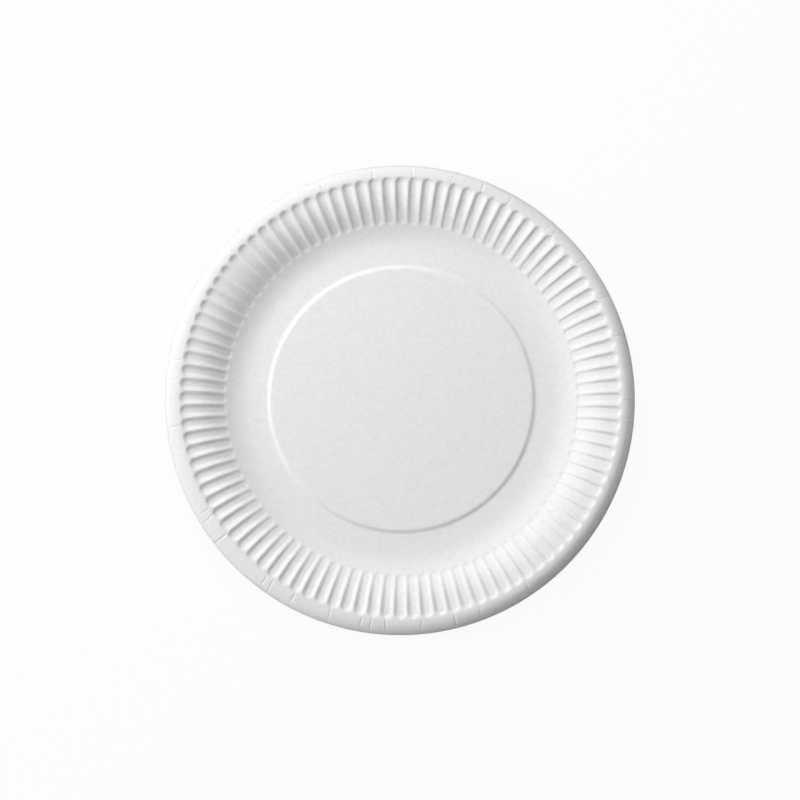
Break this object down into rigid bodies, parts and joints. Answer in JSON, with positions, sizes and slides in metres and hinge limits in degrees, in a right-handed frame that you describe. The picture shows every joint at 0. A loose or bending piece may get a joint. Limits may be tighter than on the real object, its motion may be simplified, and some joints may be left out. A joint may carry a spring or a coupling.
{
  "type": "paper plate",
  "caption": "Round white paper plate pressed from one sheet, with a raised centre disc, a flat well, a fluted sloping wall and a turned-down rim, for serving food.",
  "frame": {"origin": "centre of the plate, on the plane of the flat well's underside that it rests on", "axes": "+Z up along the plate's axis, +X to the right and +Y up in the picture, which looks straight down on the plate"},
  "size_m": [0.23, 0.23, 0.0137],
  "materials": {
    "white_board": "matt uncoated white board"
  },
  "bodies": {
    "root": {"plate": "white_board"}
  },
  "joints": []
}
